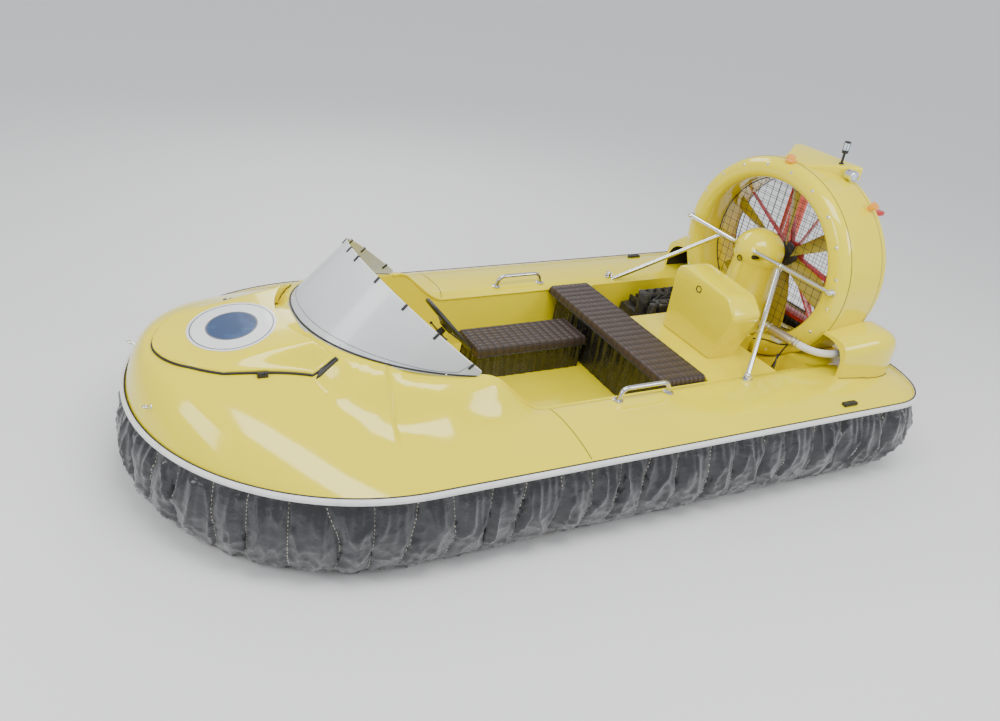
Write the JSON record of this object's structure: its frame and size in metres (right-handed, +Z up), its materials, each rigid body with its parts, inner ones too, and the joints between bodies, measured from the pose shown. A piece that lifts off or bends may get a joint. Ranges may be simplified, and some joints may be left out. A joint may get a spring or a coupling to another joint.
{
  "type": "small hovercraft",
  "caption": "Small open hovercraft: glass fibre hull on a gathered skirt, wrapped windscreen, benches, and a ducted fan with rudders at the stern.",
  "frame": {"origin": "on the floor under the middle of the craft's box", "axes": "+X towards the bow, +Y to port, +Z up"},
  "size_m": [4.077, 1.9052, 1.5753],
  "materials": {
    "hull_gelcoat": "glossy yellow gel coat on glass fibre",
    "lid_gelcoat": "glossy yellow gel coat",
    "rub_rail": "white rubbing strip",
    "skirt_cloth": "shiny black coated cloth",
    "skid": "pale worn glass fibre",
    "windscreen": "milky film-covered sheet",
    "black_plastic": "black moulded rim and spokes",
    "black_vinyl": "black vinyl over board",
    "seat_top": "dark brown ribbed vinyl",
    "stainless": "polished stainless tube",
    "moulding": "glossy yellow gel coat",
    "engine": "black engine",
    "wire": "black wire",
    "fan": "olive yellow blades",
    "red_parts": "red paint",
    "rudder": "orange red paint",
    "amber": "amber lens",
    "chrome": "chrome lamp",
    "white_plastic": "white bottle",
    "pipe": "heat-stained pipe",
    "hose_wrap": "white wrapped hose"
  },
  "bodies": {
    "hull": {"amber_beacon": "amber", "ball_tower": "moulding", "cross_bench_base": "black_vinyl", "cross_bench_pad": "seat_top", "duct_ring": "moulding", "engine_block": "engine", "engine_cover": "moulding", "exhaust_hose": "hose_wrap", "grab_handle_port": "stainless", "grab_handle_starboard": "stainless", "guard_front": "wire", "guard_rear": "wire", "hull": "hull_gelcoat", "lid_latch_port": "black_plastic", "lid_latch_starboard": "black_plastic", "long_bench_base": "black_vinyl", "long_bench_pad": "seat_top", "mast_light": "black_plastic", "muffler": "pipe", "pod_port": "moulding", "pod_starboard": "moulding", "round_lamp": "chrome", "rub_rail": "rub_rail", "rudder_bar_high": "red_parts", "rudder_bar_low": "red_parts", "side_lamp": "amber", "skid_port": "skid", "skid_starboard": "skid", "skirt_bow": "skirt_cloth", "skirt_port": "skirt_cloth", "skirt_starboard": "skirt_cloth", "skirt_stern": "skirt_cloth", "stator": "red_parts", "steering_column": "black_plastic", "stern_cleat_port": "black_plastic", "stern_cleat_starboard": "black_plastic", "strut_foot_port": "stainless", "strut_foot_starboard": "stainless", "strut_ring_port": "stainless", "strut_ring_starboard": "stainless", "top_fairing": "moulding", "tow_eye_port": "chrome", "tow_eye_starboard": "chrome", "white_bottle": "white_plastic", "windscreen": "windscreen"},
    "fan": {"fan": "fan"},
    "steering_wheel": {"steering_wheel": "black_plastic"},
    "bow_hatch": {"bow_hatch_lid": "lid_gelcoat"},
    "rudder_port": {"rudder_port": "rudder"},
    "rudder_starboard": {"rudder_starboard": "rudder"}
  },
  "joints": [
    {"name": "fan_spin", "type": "hinge", "parent": "hull", "child": "fan", "pos_m": [-1.672, 0, 0.856], "axis": [1, 0, 0], "continuous": true},
    {"name": "steering", "type": "hinge", "parent": "hull", "child": "steering_wheel", "pos_m": [0.335, -0.215, 0.49], "axis": [-0.7431, 0, 0.6691], "range_deg": [-120, 120]},
    {"name": "rudder_port_turn", "type": "hinge", "parent": "hull", "child": "rudder_port", "pos_m": [-1.835, 0.2, 0.86], "axis": [0, 0, 1], "range_deg": [-30, 30]},
    {"name": "rudder_starboard_turn", "type": "hinge", "parent": "hull", "child": "rudder_starboard", "pos_m": [-1.835, -0.2, 0.86], "axis": [0, 0, 1], "range_deg": [-30, 30]},
    {"name": "bow_hatch_hinge", "type": "hinge", "parent": "hull", "child": "bow_hatch", "pos_m": [1.892, 0, 0.665], "axis": [0, 1, 0], "range_deg": [0, 65]}
  ],
  "couplings": [
    {"joint": "rudder_starboard_turn", "follows": "rudder_port_turn", "ratio": 1}
  ]
}
